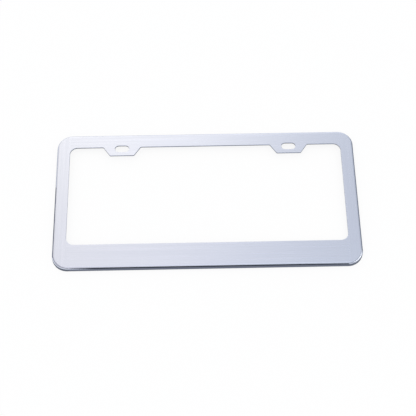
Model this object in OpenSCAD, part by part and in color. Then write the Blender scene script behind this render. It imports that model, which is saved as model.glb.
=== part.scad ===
// Licence plate frame pressed from one sheet of stainless steel.
// It lies face up: the rim of the flange is at z = 0, the face looks up and the tabs are on the +Y side.

/* [Outline] */
// Overall width
frame_w = 316; // [290:1:340]
// Overall height
frame_h = 160; // [145:1:190]
// Depth, from the rim of the flange to the face
frame_d = 6; // [5:0.5:14]
// Corner radius of the outline
corner_r = 16; // [8:0.5:24]

/* [Sheet] */
// Thickness of the sheet
sheet_t = 1.5; // [0.8:0.1:2]
// Outer radius of the bend between face and flange
bend_r = 2.5; // [2.2:0.1:4]

/* [Window] */
// Width of the left and right rails
side_rail = 13.6; // [8:0.1:24]
// Width of the top rail
top_rail = 15.7; // [8:0.1:24]
// Width of the bottom rail
bottom_rail = 27.2; // [8:0.1:40]
// Corner radius of the window
window_r = 8; // [2:0.5:16]

/* [Tabs] */
// Width of a tab where it leaves the top rail
tab_root_w = 40; // [34:0.5:60]
// Width of a tab at its tip
tab_tip_w = 25.5; // [22:0.5:32]
// Length of a tab below the top rail
tab_l = 10.5; // [9:0.5:16]
// Corner radius at the tip of a tab
tab_tip_r = 1.5; // [0.5:0.1:3]
// Radius in the corners between a tab and the top rail
tab_root_r = 1.5; // [0.5:0.1:3]

/* [Screw slots] */
// Distance between the two slot centres
slot_pitch = 177.8; // [160:0.1:200]
// Distance from the top outer edge to the slot centres
slot_drop = 17.8; // [16:0.1:20]
// Length of a slot, end to end
slot_l = 15; // [9:0.5:18]
// Width of a slot
slot_w = 8; // [5:0.5:8.5]

/* [Hidden] */
$fn = 96;
half_h = frame_h / 2;
window_w = frame_w - 2 * side_rail;
window_h = frame_h - top_rail - bottom_rail;
window_top = half_h - top_rail;
window_y = window_top - window_h / 2;
slot_y = half_h - slot_drop;
face_z = frame_d - sheet_t;
// Slope of a tab's sides, and how far a radius in one of its corners reaches along each side
tab_slope = atan2(tab_l, (tab_root_w - tab_tip_w) / 2);
tip_reach = tab_tip_r * tan(tab_slope / 2);
root_reach = tab_root_r * tan(tab_slope / 2);
// How far a cut runs past the sheet on each side
cut_over = 1;

// Section through the edge: x runs outward from the corner's centre, y runs up from the rim
module edge_section() {
    bend_x = corner_r - bend_r;
    bend_y = frame_d - bend_r;
    translate([0, face_z]) square([bend_x, sheet_t]);
    translate([corner_r - sheet_t, 0]) square([sheet_t, bend_y]);
    intersection() {
        translate([bend_x, bend_y]) difference() {
            circle(bend_r);
            circle(bend_r - sheet_t);
        }
        translate([bend_x, bend_y]) square(bend_r);
    }
}

// One straight stretch of the edge, centred on x = 0, with its flange facing -y
module straight_edge(length) {
    translate([length / 2, 0, 0]) rotate([90, 0, -90]) linear_extrude(length) edge_section();
}

// Face, bend and flange all the way round, before the window is cut
module folded_blank() {
    run_w = frame_w - 2 * corner_r;
    run_h = frame_h - 2 * corner_r;
    translate([-run_w / 2, -run_h / 2, face_z]) cube([run_w, run_h, sheet_t]);
    for (side = [0, 180]) {
        rotate(side) translate([0, -run_h / 2, 0]) straight_edge(run_w);
        rotate(side + 90) translate([0, -run_w / 2, 0]) straight_edge(run_h);
    }
    for (x = [-1, 1], y = [-1, 1])
        translate([x * run_w / 2, y * run_h / 2, 0])
            rotate(x > 0 ? (y > 0 ? 0 : 270) : (y > 0 ? 90 : 180))
                rotate_extrude(angle = 90) edge_section();
}

module window_cut() {
    translate([0, window_y, face_z - cut_over]) linear_extrude(sheet_t + 2 * cut_over) {
        square([window_w - 2 * window_r, window_h], center = true);
        square([window_w, window_h - 2 * window_r], center = true);
        for (x = [-1, 1], y = [-1, 1])
            translate([x * (window_w / 2 - window_r), y * (window_h / 2 - window_r)]) circle(window_r);
    }
}

// A tab with round corners: its root is on y = 0, its tip at y = -tab_l, and it runs up into the rail
module tab_outline() {
    side_dx = cos(tab_slope);
    side_dy = sin(tab_slope);
    root_x = tab_root_w / 2;
    tip_x = tab_tip_w / 2;
    rail_y = top_rail / 2;
    for (side = [0, 1]) mirror([side, 0]) {
        polygon([
            [0, rail_y], [0, -tab_l], [tip_x - tip_reach, -tab_l],
            [tip_x + tip_reach * side_dx, -tab_l + tip_reach * side_dy], [root_x, 0], [root_x, rail_y]
        ]);
        translate([tip_x - tip_reach, -tab_l + tab_tip_r]) circle(tab_tip_r);
        difference() {
            polygon([
                [0, rail_y], [0, -root_reach * side_dy],
                [root_x - root_reach * side_dx, -root_reach * side_dy],
                [root_x + root_reach, 0], [root_x + root_reach, rail_y]
            ]);
            translate([root_x + root_reach, -tab_root_r]) circle(tab_root_r);
        }
    }
}

module slot_cut() {
    end_x = (slot_l - slot_w) / 2;
    translate([0, 0, face_z - cut_over]) {
        translate([-end_x, -slot_w / 2, 0]) cube([2 * end_x, slot_w, sheet_t + 2 * cut_over]);
        for (x = [-end_x, end_x])
            translate([x, 0, 0]) cylinder(h = sheet_t + 2 * cut_over, d = slot_w);
    }
}

module plate_frame() {
    color("silver") difference() {
        union() {
            difference() {
                folded_blank();
                window_cut();
            }
            for (x = [-1, 1])
                translate([x * slot_pitch / 2, window_top, face_z]) linear_extrude(sheet_t) tab_outline();
        }
        for (x = [-1, 1]) translate([x * slot_pitch / 2, slot_y, 0]) slot_cut();
    }
}

plate_frame();
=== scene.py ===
"""A pressed stainless number plate frame that lies face up in a light tent, laid out as an add-on."""

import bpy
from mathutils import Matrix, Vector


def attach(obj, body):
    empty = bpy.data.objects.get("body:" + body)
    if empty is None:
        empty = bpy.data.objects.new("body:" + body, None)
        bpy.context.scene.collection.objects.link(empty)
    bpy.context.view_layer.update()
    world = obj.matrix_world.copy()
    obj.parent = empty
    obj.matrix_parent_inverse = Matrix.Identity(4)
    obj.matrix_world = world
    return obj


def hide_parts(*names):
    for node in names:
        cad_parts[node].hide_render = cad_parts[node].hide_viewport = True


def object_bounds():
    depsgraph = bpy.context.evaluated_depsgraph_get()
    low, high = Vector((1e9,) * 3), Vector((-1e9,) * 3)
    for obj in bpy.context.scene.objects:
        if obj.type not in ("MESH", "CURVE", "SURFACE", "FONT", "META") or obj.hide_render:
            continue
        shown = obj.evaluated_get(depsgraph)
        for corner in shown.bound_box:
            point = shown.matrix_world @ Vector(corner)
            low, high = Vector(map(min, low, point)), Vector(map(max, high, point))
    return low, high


bl_info = {
    "name": "Number Plate Frame",
    "version": (1, 0, 0),
    "blender": (4, 5, 0),
    "location": "3D View > Sidebar > Plate Frame",
    "description": "Builds a pressed steel number plate frame, its finish and the light tent round it",
    "category": "Object",
}

import math

import bmesh
import bpy
from bpy.props import FloatProperty, FloatVectorProperty, IntProperty, PointerProperty
from bpy.types import Operator, Panel, PropertyGroup
from mathutils import Matrix, Vector

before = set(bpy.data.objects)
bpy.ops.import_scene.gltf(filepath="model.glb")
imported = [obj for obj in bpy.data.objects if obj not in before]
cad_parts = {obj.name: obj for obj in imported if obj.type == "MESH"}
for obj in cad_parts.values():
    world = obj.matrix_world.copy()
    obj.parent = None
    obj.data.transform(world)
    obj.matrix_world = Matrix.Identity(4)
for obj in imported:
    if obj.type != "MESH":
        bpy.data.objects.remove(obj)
cad_low, cad_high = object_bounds()
frame_size = cad_high - cad_low

MM = 0.001
NODE = "plate_frame"
BODY = "root"
WHITE = (1.0, 1.0, 1.0)
# Points of an outline that lie closer than this are one
SAME_SPOT = 0.01 * MM

# Values of the noise between which the brushing and the back's marks go from bright to dull
BRUSH_RANGE = (0.25, 0.75)
MILL_RANGE = (0.3, 0.7)
# Upward part of the normal, between which the sheet goes from drawn, round the bend, to flat
BEND_RANGE = (0.8, 0.99)

# Heights of the floor, the board on it and the shades on that. Cards stand above them, on the rim's plane.
FLOOR_Z = cad_low.z - 0.04 * MM
BOARD_Z = cad_low.z - 0.02 * MM
SHADE_Z = cad_low.z - 0.01 * MM
# Degrees round a front corner, from beside it to in front, at which a card or shade has its stations
STRIP_TURNS = range(0, 91, 10)
SHADE_TURNS = range(6, 91, 14)
GLINT_TURNS = range(-4, 63, 11)
# Steps round each corner of the narrow shade
SHADE_STEPS = 12
# The tent's sphere: facets round it and from pole to pole, and how far it reaches below the floor
TENT_SEGMENTS = 64
TENT_RINGS = 32
TENT_DEPTH = 10 * MM


def length(name, text, millimetres):
    """A size that a user can change, given in millimetres."""
    return FloatProperty(name=name, description=text, default=millimetres * MM, min=0, precision=5,
                         unit="LENGTH", subtype="DISTANCE")


def position(name, text, millimetres):
    """A place along one axis, given in millimetres."""
    return FloatProperty(name=name, description=text, default=millimetres * MM, precision=5,
                         unit="LENGTH", subtype="DISTANCE")


def share(name, text, value):
    """A number from 0 to 1 that a user can change."""
    return FloatProperty(name=name, description=text, default=value, min=0, max=1, subtype="FACTOR")


def level(name, text, value):
    """A brightness, where 1 shows a white card as white."""
    return FloatProperty(name=name, description=text, default=value, min=0)


def angle(name, text, degrees):
    """An angle, given in degrees."""
    return FloatProperty(name=name, description=text, default=math.radians(degrees),
                         unit="ROTATION", subtype="ANGLE")


def colour(name, text, rgb):
    """A linear colour that a user can change."""
    return FloatVectorProperty(name=name, description=text, default=rgb, min=0, size=3, subtype="COLOR")


class PlateFrameShape(PropertyGroup):
    """Sizes of the pressed frame."""
    sheet_t: length("Sheet", "Thickness of the sheet", 1.5)
    bend_r: length("Bend radius", "Outer radius of the bend between face and flange", 2.5)
    corner_r: length("Corner radius", "Corner radius of the outline", 16)
    side_rail: length("Side rails", "Width of the left and right rails", 13.6)
    top_rail: length("Top rail", "Width of the top rail", 15.7)
    bottom_rail: length("Bottom rail", "Width of the bottom rail", 27.2)
    window_r: length("Window radius", "Corner radius of the window", 8)
    tab_root_w: length("Tab root", "Width of a tab where it leaves the top rail", 40)
    tab_tip_w: length("Tab tip", "Width of a tab at its tip", 25.5)
    tab_l: length("Tab length", "Length of a tab below the top rail", 10.5)
    tab_r: length("Tab radius", "Radius in a tab's corners", 1.5)
    slot_pitch: length("Slot pitch", "Distance between the slot centres", 177.8)
    slot_drop: length("Slot drop", "Distance from the top outer edge to the slot centres", 17.8)
    slot_l: length("Slot length", "Length of a slot, end to end", 15)
    slot_w: length("Slot width", "Width of a slot", 8)
    rollover_r: length("Rollover", "Radius that the punch leaves on the face side of a cut edge", 0.25)
    deburr_r: length("Deburring", "Radius on the back side of a cut edge and on the rim", 0.12)
    corner_steps: IntProperty(name="Corner steps", description="Steps round a corner", default=20, min=4)
    bend_steps: IntProperty(name="Bend steps", description="Steps round the bend", default=12, min=3)
    edge_steps: IntProperty(name="Edge steps", description="Steps round a broken edge", default=3, min=1)


class PlateFrameFinish(PropertyGroup):
    """Colours and textures of the steel."""
    steel: colour("Steel", "Colour of the brushed face", (0.823, 0.84, 0.887))
    streak: colour("Streak", "Colour of the duller brush lines", (0.752, 0.772, 0.82))
    # The cut edge's colour is torn steel darkened further by painted shade: the shaded floor under the
    # rails, which the edge faces.
    edge: colour("Cut edge", "Colour of the torn part of a cut edge", (0.21, 0.22, 0.245))
    back: colour("Back", "Colour of the back of the sheet", (0.66, 0.68, 0.72))
    face_roughness: share("Face roughness", "Roughness of the brushed face", 0.28)
    brush_roughness: share("Brush roughness", "Extra roughness of dull brush lines over bright ones", 0.03)
    bend_polish: share("Bend polish", "How much smoother the sheet is where it is drawn", 0.13)
    edge_roughness: share("Edge roughness", "Roughness of the torn part of a cut edge", 0.55)
    shear_roughness: share("Shear roughness", "Roughness of the smooth part of a cut edge", 0.3)
    drag_roughness: share("Drag roughness", "How much rougher the drag marks make a cut edge", 0.05)
    back_roughness: share("Back roughness", "Roughness of the back", 0.42)
    cloud_roughness: share("Cloud roughness", "Extra roughness of the dull clouds on the back", 0.08)
    hairline_w: length("Hairline width", "Width of the finest brush lines", 0.2)
    hairline_l: length("Hairline length", "Length of the finest brush lines", 34)
    streak_w: length("Streak width", "Width of the brush streaks that show from a step away", 1.9)
    streak_l: length("Streak length", "Length of those streaks", 130)
    hairline_depth: length("Hairline depth", "Depth of the finest brush lines", 0.006)
    streak_share: share("Streak share", "Share of the streaks in the brushing", 0.65)
    brush_turn: length("Brush turn", "How far from a side rail's inner edge the brush lines turn", 2)
    shear_share: share("Smooth share", "Share of a cut edge's height that the punch leaves smooth", 0.3)
    tear_rise: length("Tear rise", "How far the limit of the torn part runs up and down", 0.25)
    tear_blur: length("Tear blur", "How softly that limit shows, to each side", 0.05)
    drag_w: length("Drag width", "Width of the punch's drag marks on a cut edge", 0.15)
    drag_l: length("Drag length", "Length of those marks", 1.2)
    drag_depth: length("Drag depth", "Depth of those marks", 0.02)
    cloud_l: length("Cloud length", "Length of the clouds on the back", 14)
    cloud_w: length("Cloud width", "Width of those clouds", 9)
    cloud_share: share("Cloud share", "Share of the clouds in the back's dullness", 0.6)
    mill_line_l: length("Mill line length", "Length of the rolling lines on the back", 60)
    mill_line_w: length("Mill line width", "Width of those lines", 0.5)
    mill_line_depth: length("Mill line depth", "Depth of those lines", 0.006)


class PlateFrameStudio(PropertyGroup):
    """Light tent, cards, floor and camera."""
    tent_r: length("Tent radius", "Radius of the light tent", 1500)
    cloth_level: level("Cloth level", "Brightness of the cloth low down on the left", 0.595)
    side_level: level("Side level", "How much dimmer the cloth is on the right", 0.06)
    side_spread: share("Side spread", "How far from the middle the cloth keeps changing", 0.25)
    back_level: level("Back level", "How much brighter the cloth is behind the frame", 0.332)
    back_start: share("Back start", "How far back that starts, from 0 at the sides to 1", 0.317)
    roof_level: level("Roof level", "How much brighter the cloth is overhead", 0.318)
    roof_start: share("Roof start", "How high that starts, from 0 at the floor to 1", 0.8)
    lamp_level: level("Lamp level", "Extra brightness where the lamp stands behind the cloth", 0.27)
    lamp_azimuth: angle("Lamp azimuth", "Direction of that lamp, from straight back towards the right", -7.3)
    lamp_height: angle("Lamp height", "Height of that lamp above the floor", 45.7)
    lamp_spread: angle("Lamp spread", "How far the lamp's light spreads on the cloth", 18.2)
    halo_level: level("Halo level", "Extra brightness of the lamp's wide halo", 0.31)
    halo_azimuth: angle("Halo azimuth", "Direction of the middle of the halo", -25)
    halo_height: angle("Halo height", "Height of the middle of the halo", 35)
    halo_spread: angle("Halo spread", "How far the halo spreads on the cloth", 41.4)
    front_level: level("Front level", "Extra brightness of the cloth overhead in front", 0.15)
    front_height: angle("Front height", "Height of the middle of that brighter cloth", 72)
    front_spread: angle("Front spread", "How far it spreads on the cloth", 35)
    warm: colour("Warm cloth", "Tint of the cloth on the left", (1.007, 1.0, 1.105))
    cool: colour("Cool cloth", "Tint of the cloth on the right", (0.933, 1.0, 1.156))
    halo_tint: colour("Halo tint", "Tint of the cloth in the halo", (1.017, 1.0, 0.995))
    room_level: level("Room level", "Brightness of the tent as the floor and the boards get it", 1.04)
    floor_glow: share("Floor glow", "Share of the floor's white that no shadow darkens", 0.88)
    board: colour("Board", "Colour of the grey board that the steel shows below itself", (0.64, 0.68, 0.78))
    board_margin: length("Board margin", "How far the grey board runs past the frame", 120)
    tuck: length("Tuck", "How far the card's foot and the shades reach in under the frame", 2)
    card_gap: length("Card gap", "Distance between the frame and the cards round it", 8)
    card: colour("Black card", "Colour of the upright part of the black card in front", (0.032, 0.037, 0.05))
    # The card's foot is partly a dark card and partly painted shade at the frame's foot, which the flange
    # mirrors.
    card_foot_shade: colour("Card foot", "Colour of that card's part on the floor", (0.185, 0.2, 0.245))
    foot_left_w: length("Card foot end", "Width of that part at its left end", 5)
    card_top: length("Card top", "Height of the black card", 11.3)
    card_left: position("Card left end", "Where the black card meets the corner strip", -140)
    card_slant: position("Card slant", "Where the black card gets its full height", -115.5)
    card_fade: position("Card fade", "Where the black card starts to lose height", 87)
    card_right: position("Card right end", "Where the black card ends on the right", 144.1)
    card_end: length("Card end", "Height of the black card at its right end", 8.3)
    corner_strip: colour("Corner strip", "Colour of the left front corner's strip", (0.02, 0.024, 0.034))
    strip_low: length("Corner strip foot", "Height of the lower edge of the corner strip", 7.5)
    strip_top: length("Corner strip top", "Height of the upper edge of the corner strip", 11.2)
    corner_glow: level("Corner glow", "Brightness of the pale strip below the corner strip", 1.0)
    glow_tint: colour("Corner glow tint", "Tint of that pale strip", (0.97, 1.0, 1.1))
    side_strip: colour("Side strips", "Colour of the dark strip at each side", (0.08, 0.09, 0.12))
    side_top: length("Side strip top", "Height of the strips at the sides", 7.8)
    left_back: position("Left strip end", "Where the left strip ends towards the back", 21.5)
    right_back: position("Right strip end", "Where the right strip ends towards the back", 116)
    foot_shade: colour("Foot shade", "Colour of the shaded board at the frame's foot", (0.16, 0.175, 0.21))
    shade_w: length("Shade width", "How far that shade reaches from the frame", 3)
    side_shade: colour("Side shade", "Colour of the shaded board beside the left rail", (0.22, 0.24, 0.29))
    side_shade_w: length("Side shade width", "How far that shade reaches from the rail at its front end", 16)
    side_shade_back: position("Side shade back", "Where that shade narrows to nothing towards the back", 60)
    side_shade_front: position("Side shade front", "Where that shade ends in front", -48)
    corner_shade: colour("Corner shade", "Colour of the board at the front corners", (0.16, 0.175, 0.21))
    corner_shade_w: length("Corner shade width", "How far that shade reaches from the corners", 9)
    glint_level: level("Glint level", "Brightness of the small lamp card at the right front corner", 2.7)
    glint_gap: length("Glint gap", "Distance between the corner and that card", 4)
    glint_h: length("Glint height", "Height of that card at its middle", 1.7)
    glint_ends: share("Glint ends", "Share of that height at the card's ends", 0.4)
    glint_back_z: length("Glint back", "Height of the card's middle at its back end", 8.7)
    glint_front_z: length("Glint front", "Height of the card's middle at its front end", 6.9)
    lens: FloatProperty(name="Lens", description="Focal length on a 36 mm sensor", default=98.35,
                        unit="CAMERA", min=1)
    distance: length("Distance", "Distance from the camera to the point it looks at", 1185.04)
    elevation: angle("Elevation", "Height of the camera above the floor", 60.25)
    azimuth: angle("Azimuth", "Turn of the camera round the frame", -0.893)
    roll: angle("Roll", "Turn of the camera about its own axis", -0.264)
    aim_x: position("Aim x", "Where the camera looks, left to right", 1.524)
    aim_y: position("Aim y", "Where the camera looks, bottom to top", -9.15)


class Wire:
    """One output in a node tree. Python's operators on it add Math nodes."""

    def __init__(self, sheet, socket):
        self.sheet = sheet
        self.socket = socket

    def maths(self, operation, *values):
        return self.sheet.node("ShaderNodeMath", {"operation": operation}, dict(enumerate(values)))

    def __add__(self, other):
        return self.maths("ADD", self, other)

    def __radd__(self, other):
        return self.maths("ADD", other, self)

    def __sub__(self, other):
        return self.maths("SUBTRACT", self, other)

    def __rsub__(self, other):
        return self.maths("SUBTRACT", other, self)

    def __mul__(self, other):
        return self.maths("MULTIPLY", self, other)

    def __rmul__(self, other):
        return self.maths("MULTIPLY", other, self)

    def __truediv__(self, other):
        return self.maths("DIVIDE", self, other)

    def __rtruediv__(self, other):
        return self.maths("DIVIDE", other, self)

    def __abs__(self):
        return self.maths("ABSOLUTE", self)

    def at_most(self, other):
        return self.maths("MINIMUM", self, other)

    def ease(self, low, high):
        """0 below low, 1 above high, and a smooth step between."""
        return self.sheet.node("ShaderNodeMapRange", {"interpolation_type": "SMOOTHSTEP"},
                               {"Value": self, "From Min": low, "From Max": high})


class NodeSheet:
    """The node tree of one material."""

    def __init__(self, name):
        self.material = bpy.data.materials.new(name)
        self.material.use_nodes = True
        self.tree = self.material.node_tree
        self.tree.nodes.clear()

    def node(self, kind, settings, sockets, output=0):
        """Adds a node: its settings first, then its sockets' values or links. Returns one of its outputs."""
        node = self.tree.nodes.new(kind)
        for name, value in settings.items():
            setattr(node, name, value)
        for key, value in sockets.items():
            socket = self.pick(node.inputs, key)
            if isinstance(value, Wire):
                self.tree.links.new(value.socket, socket)
            elif socket.type == "RGBA" and len(value) == 3:
                socket.default_value = (*value, 1)
            else:
                socket.default_value = value
        if node.outputs:
            return Wire(self, self.pick(node.outputs, output))
        return None

    def pick(self, sockets, key):
        """A socket by its index, or by its identifier."""
        if isinstance(key, int):
            return sockets[key]
        return next(s for s in sockets if s.identifier == key)

    def mix(self, factor, first, second):
        """Colour that goes from first to second."""
        return self.node("ShaderNodeMix", {"data_type": "RGBA"},
                         {"Factor_Float": factor, "A_Color": first, "B_Color": second}, "Result_Color")

    def split(self, vector):
        """The x, y and z of a vector."""
        return [self.node("ShaderNodeSeparateXYZ", {}, {"Vector": vector}, axis) for axis in "XYZ"]

    def point(self, x, y, z):
        """A vector from three values."""
        return self.node("ShaderNodeCombineXYZ", {}, {"X": x, "Y": y, "Z": z})

    def dot(self, vector, direction):
        """How far a vector goes along a fixed direction."""
        return self.node("ShaderNodeVectorMath", {"operation": "DOT_PRODUCT"},
                         {0: vector, 1: direction}, "Value")

    def spot(self, way, azimuth, height, spread):
        """A soft round spot on the tent: 1 at its middle and 0 at its spread."""
        low = math.cos(height)
        middle = (low * math.sin(azimuth), low * math.cos(azimuth), math.sin(height))
        return self.dot(way, middle).ease(math.cos(spread), 1.0)

    def coordinates(self, kind):
        """The x, y and z of the place (Object) or of the surface's direction (Normal)."""
        return self.split(self.node("ShaderNodeTexCoord", {}, {}, kind))

    def noise(self, vector, detail):
        """Soft noise from 0 to 1, one unit across."""
        return self.node("ShaderNodeTexNoise", {}, {"Vector": vector, "Scale": 1.0, "Detail": detail}, "Fac")

    def finish(self, shader):
        """Ends the tree with its surface."""
        self.node("ShaderNodeOutputMaterial", {}, {"Surface": shader})
        return self.material

    def steel(self, tone, roughness, relief, depth):
        """Ends the tree as bare steel with fine relief."""
        bump = self.node("ShaderNodeBump", {}, {"Height": relief, "Strength": 1.0, "Distance": depth})
        return self.finish(self.node("ShaderNodeBsdfPrincipled", {}, {
            "Base Color": tone, "Metallic": 1.0, "Roughness": roughness, "Normal": bump}))


def brushed_face(finish, shape):
    """Brushed steel. The lines run along each rail, and carry on over the bend and down the flange."""
    sheet = NodeSheet("brushed_face")
    x, y, z = sheet.coordinates("Object")
    facing = sheet.coordinates("Normal")
    down_y = y + z * abs(facing[1])
    down_x = x + z * abs(facing[0])
    window_x = frame_size.x / 2 - shape.side_rail
    side_rail = abs(x).ease(window_x - finish.brush_turn, window_x + finish.brush_turn)

    def brushed(line_l, line_w, layer, detail):
        """Lines of one length and width: along x on the long rails, and along y on the side rails."""
        flat = sheet.noise(sheet.point(down_x / line_l, down_y / line_w, layer), detail)
        upright = sheet.noise(sheet.point(down_x / line_w, down_y / line_l, layer), detail)
        return flat * (1 - side_rail) + upright * side_rail

    hairlines = brushed(finish.hairline_l, finish.hairline_w, layer=0.0, detail=3.0)
    streaks = brushed(finish.streak_l, finish.streak_w, layer=3.0, detail=2.0)
    brushing = streaks * finish.streak_share + hairlines * (1 - finish.streak_share)
    dull = brushing.ease(*BRUSH_RANGE)
    drawn = 1 - abs(facing[2]).ease(*BEND_RANGE)
    smoothest = finish.face_roughness - finish.brush_roughness / 2
    roughness = smoothest + dull * finish.brush_roughness - drawn * finish.bend_polish
    tone = sheet.mix(dull, finish.steel, finish.streak)
    return sheet.steel(tone, roughness, hairlines, finish.hairline_depth)


def sheared_edge(finish, shape):
    """A punched edge: smooth where the punch went in, torn and dull below. The torn part's colour is darker
    than torn steel: painted shade, the shaded floor it faces.
    """
    sheet = NodeSheet("sheared_edge")
    x, y, z = sheet.coordinates("Object")
    drag = sheet.noise(sheet.point(x / finish.drag_w, y / finish.drag_w, z / finish.drag_l), detail=2.0)
    tear_top = frame_size.z - finish.shear_share * shape.sheet_t
    ragged_z = z + (drag - 0.5) * finish.tear_rise
    torn = 1 - ragged_z.ease(tear_top - finish.tear_blur, tear_top + finish.tear_blur)
    tear_roughness = torn * (finish.edge_roughness - finish.shear_roughness)
    roughness = finish.shear_roughness + tear_roughness + drag * finish.drag_roughness
    # The torn part's dark colour is partly the torn steel's own and partly painted shade.
    tone = sheet.mix(torn, finish.streak, finish.edge)
    return sheet.steel(tone, roughness, drag, finish.drag_depth)


def mill_back(finish):
    """The back of the sheet, as the mill left it: dull, with soft clouds and faint rolling lines."""
    sheet = NodeSheet("mill_back")
    x, y, z = sheet.coordinates("Object")

    def rolled(mark_l, mark_w, detail):
        """Marks of one length, along x, and one width."""
        return sheet.noise(sheet.point(x / mark_l, y / mark_w, z / mark_w), detail)

    clouds = rolled(finish.cloud_l, finish.cloud_w, detail=3.0)
    lines = rolled(finish.mill_line_l, finish.mill_line_w, detail=2.0)
    marks = clouds * finish.cloud_share + lines * (1 - finish.cloud_share)
    dull = marks.ease(*MILL_RANGE)
    roughness = finish.back_roughness - finish.cloud_roughness / 2 + dull * finish.cloud_roughness
    tone = sheet.mix(dull, finish.steel, finish.back)
    return sheet.steel(tone, roughness, lines, finish.mill_line_depth)


def rounded_outline(corners, steps):
    """Points and outward normals round an anticlockwise outline, whose corners (x, y, radius) are arcs."""
    outline = []
    for i, (x, y, radius) in enumerate(corners):
        corner = Vector((x, y))
        arriving = (corner - Vector(corners[i - 1][:2])).normalized()
        leaving = (Vector(corners[(i + 1) % len(corners)][:2]) - corner).normalized()
        turn = math.atan2(arriving.x * leaving.y - arriving.y * leaving.x, arriving.dot(leaving))
        side = math.copysign(1, turn)
        start = corner - arriving * radius * math.tan(abs(turn) / 2)
        centre = start + Vector((-arriving.y, arriving.x)) * radius * side
        heading = math.atan2(arriving.y, arriving.x)
        for step in range(steps + 1):
            way = heading + turn * step / steps
            outward = Vector((math.sin(way), -math.cos(way)))
            spot = centre + outward * radius * side
            if not outline or (spot - outline[-1][0]).length > SAME_SPOT:
                outline.append((spot, outward))
    if (outline[0][0] - outline[-1][0]).length < SAME_SPOT:
        outline.pop()
    return outline


def arc(centre_out, centre_up, radius, start, end, steps):
    """Profile points (out, up, normal out, normal up) round an arc. Its angles go from up towards out."""
    points = []
    for step in range(steps + 1):
        a = start + (end - start) * step / steps
        points.append((centre_out + radius * math.sin(a), centre_up + radius * math.cos(a),
                       math.sin(a), math.cos(a)))
    return points


class SheetBuilder:
    """Collects the frame's skin, with the exact normal of every point."""

    def __init__(self):
        self.bm = bmesh.new()
        self.normals = {}

    def loft(self, outline, sections):
        """Carries a profile round an outline as quads, and returns the edges of its first and last ring.

        A section of the profile is its points and its material. It starts where the one before it ended.
        """
        count = len(outline)
        rings = []
        for points, material in sections:
            for point in points:
                rings.append([self.corner(spot, outward, *point) for spot, outward in outline])
                if len(rings) > 1:
                    last, ring = rings[-2:]
                    for i in range(count):
                        j = (i + 1) % count
                        face = self.bm.faces.new((last[i], ring[i], ring[j], last[j]))
                        face.material_index = material
        return [[self.bm.edges.get((ring[i], ring[(i + 1) % count])) for i in range(count)]
                for ring in (rings[0], rings[-1])]

    def corner(self, spot, outward, out, up, normal_out, normal_up):
        """One vertex of the loft, out from its spot on the outline and up from the floor."""
        flat = spot + outward * out
        vertex = self.bm.verts.new((flat.x, flat.y, up))
        self.normals[vertex] = (*(outward * normal_out), normal_up)
        return vertex

    def fill(self, edges, material):
        """Closes the flat sheet between an outer ring and the rings inside it."""
        made = bmesh.ops.triangle_fill(self.bm, use_beauty=True, use_dissolve=False, edges=edges)
        for item in made["geom"]:
            if isinstance(item, bmesh.types.BMFace):
                item.material_index = material

    def to_object(self, name, materials):
        """The finished mesh as an object, shaded with the exact normals."""
        bmesh.ops.recalc_face_normals(self.bm, faces=self.bm.faces)
        self.bm.verts.index_update()
        normals = [self.normals[vertex] for vertex in self.bm.verts]
        mesh = bpy.data.meshes.new(name)
        self.bm.to_mesh(mesh)
        self.bm.free()
        mesh.shade_smooth()
        mesh.normals_split_custom_set_from_vertices(normals)
        for material in materials:
            mesh.materials.append(material)
        piece = bpy.data.objects.new(name, mesh)
        bpy.context.scene.collection.objects.link(piece)
        return piece


def folded_edge_profile(shape):
    """Section of the fold: over the bend and down the flange, round its rim, and back up inside."""
    bend_up = frame_size.z - shape.bend_r
    rim_r = shape.deburr_r
    quarter = math.pi / 2
    outside = arc(-shape.bend_r, bend_up, shape.bend_r, 0, quarter, shape.bend_steps)
    outer_rim = arc(-rim_r, rim_r, rim_r, quarter, 2 * quarter, shape.edge_steps)
    inner_rim = arc(rim_r - shape.sheet_t, rim_r, rim_r, 2 * quarter, 3 * quarter, shape.edge_steps)
    inside = [(out, up, -normal_out, -normal_up) for out, up, normal_out, normal_up in
              arc(-shape.bend_r, bend_up, shape.bend_r - shape.sheet_t, quarter, 0, shape.bend_steps // 2)]
    return outside + outer_rim[:1], outer_rim[1:] + inner_rim, inside


def cut_edge_profile(shape):
    """Section of a punched edge, from the face down to the back. Out is into the metal."""
    face = frame_size.z
    back = face - shape.sheet_t
    quarter = math.pi / 2
    top = arc(shape.rollover_r, face - shape.rollover_r, shape.rollover_r, 0, -quarter, shape.edge_steps)
    bottom = arc(shape.deburr_r, back + shape.deburr_r, shape.deburr_r, -quarter, -2 * quarter,
                 shape.edge_steps)
    return top, bottom


def frame_corners(shape):
    """Corners of the outer outline."""
    half_w = frame_size.x / 2
    half_h = frame_size.y / 2
    r = shape.corner_r
    return [(half_w, -half_h, r), (half_w, half_h, r), (-half_w, half_h, r), (-half_w, -half_h, r)]


def window_corners(shape):
    """Corners of the window, with the two tabs that reach into it from the top."""
    right = frame_size.x / 2 - shape.side_rail
    top = frame_size.y / 2 - shape.top_rail
    bottom = shape.bottom_rail - frame_size.y / 2
    tip = top - shape.tab_l
    half_root = shape.tab_root_w / 2
    half_tip = shape.tab_tip_w / 2
    corners = [(right, bottom, shape.window_r), (right, top, shape.window_r)]
    for middle in (shape.slot_pitch / 2, -shape.slot_pitch / 2):
        corners += [(middle + half_root, top, shape.tab_r), (middle + half_tip, tip, shape.tab_r),
                    (middle - half_tip, tip, shape.tab_r), (middle - half_root, top, shape.tab_r)]
    return corners + [(-right, top, shape.window_r), (-right, bottom, shape.window_r)]


def slot_corners(shape, middle):
    """Corners of one screw slot, whose ends are half rounds."""
    y = frame_size.y / 2 - shape.slot_drop
    half_l = shape.slot_l / 2
    r = shape.slot_w / 2
    return [(middle + half_l, y - r, r), (middle + half_l, y + r, r),
            (middle - half_l, y + r, r), (middle - half_l, y - r, r)]


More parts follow.
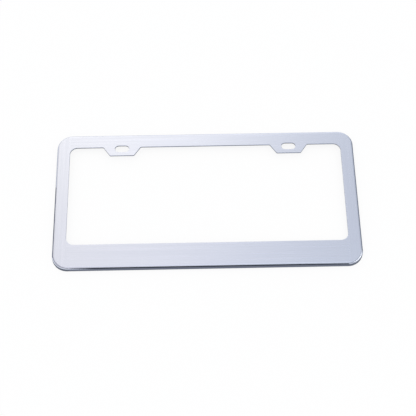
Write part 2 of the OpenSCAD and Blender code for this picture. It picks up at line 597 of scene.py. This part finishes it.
class PLATEFRAME_OT_sheet(Operator):
    """Builds the pressed sheet with its face, bend, flange, window, tabs and slots"""
    bl_idname = "plate_frame.sheet"
    bl_label = "Pressed Sheet"

    def execute(self, context):
        shape = context.scene.plate_frame_shape
        finish = context.scene.plate_frame_finish
        face, edge, back = range(3)
        builder = SheetBuilder()
        outside, rim, inside = folded_edge_profile(shape)
        outline = rounded_outline(frame_corners(shape), shape.corner_steps)
        face_edges, back_edges = builder.loft(outline, [(outside, face), (rim, edge), (inside, back)])
        cuts = [window_corners(shape)]
        cuts += [slot_corners(shape, side * shape.slot_pitch / 2) for side in (-1, 1)]
        top, bottom = cut_edge_profile(shape)
        for corners in cuts:
            cut = rounded_outline(corners, shape.corner_steps // 2)
            cut_top, cut_bottom = builder.loft(cut, [(top, face), (bottom, edge)])
            face_edges += cut_top
            back_edges += cut_bottom
        builder.fill(face_edges, face)
        builder.fill(back_edges, back)
        materials = [brushed_face(finish, shape), sheared_edge(finish, shape), mill_back(finish)]
        piece = builder.to_object("pressed_sheet", materials)
        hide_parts(NODE)
        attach(piece, BODY)
        return {"FINISHED"}


def stage_piece(name, corners, faces, material):
    """A stage piece, such as the floor or a card, from its corners and faces."""
    mesh = bpy.data.meshes.new(name)
    mesh.from_pydata(corners, [], faces)
    mesh.materials.append(material)
    piece = bpy.data.objects.new(name, mesh)
    bpy.context.scene.collection.objects.link(piece)
    return piece


def flat_piece(name, x, y, z, material):
    """A level stage piece that reaches x and y to each side of the middle."""
    return stage_piece(name, [(-x, -y, z), (x, -y, z), (x, y, z), (-x, y, z)], [(0, 1, 2, 3)], material)


def seen_only_in_steel(piece):
    """The piece shows in reflections, and nowhere else."""
    piece.visible_camera = False
    piece.visible_diffuse = False
    piece.visible_transmission = False
    piece.visible_shadow = False


def shining_card(name, corners, faces, rgb, strength=1.0):
    """A card that shows one colour in the steel."""
    sheet = NodeSheet(name)
    shine = sheet.node("ShaderNodeEmission", {}, {"Color": rgb, "Strength": strength})
    seen_only_in_steel(stage_piece(name, corners, faces, sheet.finish(shine)))


def upright_card(name, stations, rgb, strength=1.0):
    """A card that stands along its stations (x, y, lower edge, upper edge)."""
    corners = [(x, y, z) for x, y, low, high in stations for z in (low, high)]
    faces = [(i, i + 2, i + 3, i + 1) for i in range(0, len(corners) - 2, 2)]
    shining_card(name, corners, faces, rgb, strength)


def flat_band(name, spots, z, rgb):
    """A level band, whose spots lie by turns on its near and its far side."""
    corners = [(x, y, z) for x, y in spots]
    faces = [(i, i + 1, i + 3, i + 2) for i in range(0, len(spots) - 2, 2)]
    shining_card(name, corners, faces, rgb)


def corner_arc(shape, side, out, degrees):
    """Spots off one front corner: at 0 degrees they lie beside it, and at 90 in front."""
    reach = shape.corner_r + out
    centre_x = frame_size.x / 2 - shape.corner_r
    centre_y = shape.corner_r - frame_size.y / 2
    turns = [math.radians(turn) for turn in degrees]
    return [(side * (centre_x + reach * math.cos(a)), centre_y - reach * math.sin(a)) for a in turns]


def tent_cloth(studio):
    """The tent's lit cloth: a lamp stands behind its back, and its right side is dimmer.

    Dull surfaces get it evenly.
    """
    sheet = NodeSheet("tent_cloth")
    place = sheet.node("ShaderNodeTexCoord", {}, {}, "Object")
    way = sheet.node("ShaderNodeVectorMath", {"operation": "NORMALIZE"}, {0: place}, "Vector")
    x, y, z = sheet.split(way)
    right = x.ease(-studio.side_spread, studio.side_spread)
    lamp = sheet.spot(way, studio.lamp_azimuth, studio.lamp_height, studio.lamp_spread)
    halo = sheet.spot(way, studio.halo_azimuth, studio.halo_height, studio.halo_spread)
    front = sheet.spot(way, math.pi, studio.front_height, studio.front_spread)
    back = y.ease(studio.back_start, 1.0)
    roof = z.ease(studio.roof_start, 1.0)
    cloth = studio.cloth_level - right * studio.side_level + back * studio.back_level
    cloth = cloth + front * studio.front_level + roof * studio.roof_level
    cloth = cloth + lamp * studio.lamp_level + halo * studio.halo_level
    even = sheet.node("ShaderNodeLightPath", {}, {}, "Is Diffuse Ray")
    strength = cloth * (1 - even) + even * studio.room_level
    tint = sheet.mix(halo, sheet.mix(right, studio.warm, studio.cool), studio.halo_tint)
    tint = sheet.mix(even, tint, WHITE)
    glow = sheet.node("ShaderNodeVectorMath", {"operation": "SCALE"}, {0: tint, "Scale": strength}, "Vector")
    return sheet.finish(sheet.node("ShaderNodeEmission", {}, {"Color": glow, "Strength": 1.0}))


def grey_board(studio):
    """The dull board under the frame, which shows in the steel."""
    sheet = NodeSheet("grey_board")
    return sheet.finish(sheet.node("ShaderNodeBsdfDiffuse", {}, {"Color": studio.board}))


def white_floor(studio):
    """White floor that keeps the frame's shadow."""
    sheet = NodeSheet("white_floor")
    paper = sheet.node("ShaderNodeBsdfDiffuse", {}, {"Color": WHITE})
    white = sheet.node("ShaderNodeEmission", {}, {"Color": WHITE, "Strength": 1.0})
    seen = [sheet.node("ShaderNodeLightPath", {}, {}, ray) for ray in
            ("Is Camera Ray", "Is Glossy Ray", "Is Transmission Ray")]
    factor = (seen[0] + seen[1] + seen[2]).at_most(1.0) * studio.floor_glow
    return sheet.finish(sheet.node("ShaderNodeMixShader", {}, {0: factor, 1: paper, 2: white}))


class PLATEFRAME_OT_stage(Operator):
    """Sets up the white floor, the cards round the frame, the light tent and the camera"""
    bl_idname = "plate_frame.stage"
    bl_label = "Stage"

    def execute(self, context):
        studio = context.scene.plate_frame_studio
        shape = context.scene.plate_frame_shape
        self.floor(studio)
        self.cards(studio, shape)
        self.shades(studio, shape)
        self.glint(studio, shape)
        self.tent(studio)
        self.camera(context.scene, studio)
        self.world(context.scene)
        return {"FINISHED"}

    def floor(self, studio):
        """The floor the frame lies on, and the board that shows in the steel."""
        flat_piece("floor", studio.tent_r, studio.tent_r, FLOOR_Z, white_floor(studio))
        board_x = frame_size.x / 2 + studio.board_margin
        board_y = frame_size.y / 2 + studio.board_margin
        seen_only_in_steel(flat_piece("grey_board", board_x, board_y, BOARD_Z, grey_board(studio)))

    def cards(self, studio, shape):
        """What the steel shows in its edges: a black card in front, and strips at the sides and a corner."""
        gap = studio.card_gap
        top = studio.card_top
        side_x = frame_size.x / 2 + gap
        front_y = -frame_size.y / 2 - gap
        turn_y = shape.corner_r - frame_size.y / 2
        stations = [(studio.card_left, front_y, studio.strip_low, studio.strip_top),
                    (studio.card_slant, front_y, 0, top), (studio.card_fade, front_y, 0, top),
                    (studio.card_right, front_y, 0, studio.card_end)]
        upright_card("black_card", stations, studio.card)
        # The card's foot lies on the floor up to and under the frame: a dark card, and painted shade at the
        # frame's foot.
        near_y = front_y + gap + studio.tuck
        foot = [(studio.card_left, near_y), (studio.card_left, near_y - studio.foot_left_w),
                (studio.card_slant, front_y), (studio.card_right, front_y), (studio.card_right, near_y)]
        corners = [(x, y, cad_low.z) for x, y in foot]
        shining_card("card_foot_shade", corners, [range(len(foot))], studio.card_foot_shade)
        for name, x, back in (("left_strip", -side_x, studio.left_back),
                              ("right_strip", side_x, studio.right_back)):
            upright_card(name, [(x, y, 0, studio.side_top) for y in (back, turn_y)], studio.side_strip)
        corner = corner_arc(shape, -1, gap, STRIP_TURNS)
        upright_card("corner_strip", [(x, y, studio.strip_low, studio.strip_top) for x, y in corner],
                     studio.corner_strip)
        upright_card("corner_glow", [(x, y, 0, studio.strip_low) for x, y in corner],
                     studio.glow_tint, studio.corner_glow)

    def shades(self, studio, shape):
        """The shade on the board: narrow all round, and wider at the front corners and the left rail."""
        outline = rounded_outline(frame_corners(shape), SHADE_STEPS)
        reaches = (-studio.tuck, studio.shade_w)
        ring = [spot + outward * out for spot, outward in outline for out in reaches]
        flat_band("foot_shade", [*ring, *ring[:2]], SHADE_Z, studio.foot_shade)
        for name, side in (("left_corner_shade", -1), ("right_corner_shade", 1)):
            near = corner_arc(shape, side, -studio.tuck, SHADE_TURNS)
            far = corner_arc(shape, side, studio.corner_shade_w, SHADE_TURNS)
            band = [spot for pair in zip(near, far) for spot in pair]
            flat_band(name, band, cad_low.z, studio.corner_shade)
        rail = -frame_size.x / 2
        ends = ((studio.side_shade_back, studio.shade_w), (studio.side_shade_front, studio.side_shade_w))
        beside = [(rail - out, y) for y, reach in ends for out in (studio.shade_w, reach)]
        flat_band("side_shade", beside, SHADE_Z, studio.side_shade)

    def glint(self, studio, shape):
        """A small bright card off the right front corner, which draws a thin line of light there."""
        stations = []
        for i, (x, y) in enumerate(corner_arc(shape, 1, studio.glint_gap, GLINT_TURNS)):
            along = i / (len(GLINT_TURNS) - 1)
            middle = studio.glint_back_z + (studio.glint_front_z - studio.glint_back_z) * along
            fullness = studio.glint_ends + (1 - studio.glint_ends) * math.sin(math.pi * along)
            half = studio.glint_h / 2 * fullness
            stations.append((x, y, middle - half, middle + half))
        upright_card("glint_card", stations, WHITE, studio.glint_level)

    def tent(self, studio):
        """A dome of lit cloth. The camera looks in through it."""
        bm = bmesh.new()
        bmesh.ops.create_uvsphere(bm, u_segments=TENT_SEGMENTS, v_segments=TENT_RINGS, radius=studio.tent_r)
        below = [v for v in bm.verts if v.co.z < -TENT_DEPTH]
        bmesh.ops.delete(bm, geom=below, context="VERTS")
        mesh = bpy.data.meshes.new("tent")
        bm.to_mesh(mesh)
        bm.free()
        mesh.materials.append(tent_cloth(studio))
        tent = bpy.data.objects.new("tent", mesh)
        tent.visible_camera = False
        bpy.context.scene.collection.objects.link(tent)

    def camera(self, scene, studio):
        """The camera, at the photograph's angle and distance."""
        tilt = math.pi / 2 - studio.elevation
        turn = Matrix.Rotation(studio.azimuth, 3, "Z") @ Matrix.Rotation(tilt, 3, "X")
        turn = turn @ Matrix.Rotation(studio.roll, 3, "Z")
        data = bpy.data.cameras.new("camera")
        data.lens = studio.lens
        camera = bpy.data.objects.new("camera", data)
        camera.matrix_world = turn.to_4x4()
        camera.location = Vector((studio.aim_x, studio.aim_y, 0)) + turn.col[2] * studio.distance
        scene.collection.objects.link(camera)
        scene.camera = camera

    def world(self, scene):
        """White all round, outside the tent."""
        world = bpy.data.worlds.new("white")
        world.use_nodes = True
        world.node_tree.nodes["Background"].inputs["Color"].default_value = (1, 1, 1, 1)
        scene.world = world
        scene.view_settings.view_transform = "Standard"


class PLATEFRAME_PT_panel(Panel):
    """Lists the frame's sizes, finish and stage"""
    bl_idname = "PLATEFRAME_PT_panel"
    bl_label = "Number Plate Frame"
    bl_space_type = "VIEW_3D"
    bl_region_type = "UI"
    bl_category = "Plate Frame"

    def draw(self, context):
        for operator, group in STEPS:
            column = self.layout.column(align=True)
            settings = getattr(context.scene, group)
            for name in settings.__annotations__:
                column.prop(settings, name)
            if operator:
                column.operator(operator)


STEPS = [
    (None, "plate_frame_shape"),
    ("plate_frame.sheet", "plate_frame_finish"),
    ("plate_frame.stage", "plate_frame_studio"),
]
GROUPS = {
    "plate_frame_shape": PlateFrameShape,
    "plate_frame_finish": PlateFrameFinish,
    "plate_frame_studio": PlateFrameStudio,
}
CLASSES = (*GROUPS.values(), PLATEFRAME_OT_sheet, PLATEFRAME_OT_stage, PLATEFRAME_PT_panel)


def register():
    for cls in CLASSES:
        bpy.utils.register_class(cls)
    for name, group in GROUPS.items():
        setattr(bpy.types.Scene, name, PointerProperty(type=group))


def unregister():
    for name in GROUPS:
        delattr(bpy.types.Scene, name)
    for cls in reversed(CLASSES):
        bpy.utils.unregister_class(cls)


def main():
    register()
    bpy.ops.plate_frame.sheet()
    bpy.ops.plate_frame.stage()


if __name__ == "__main__":
    main()
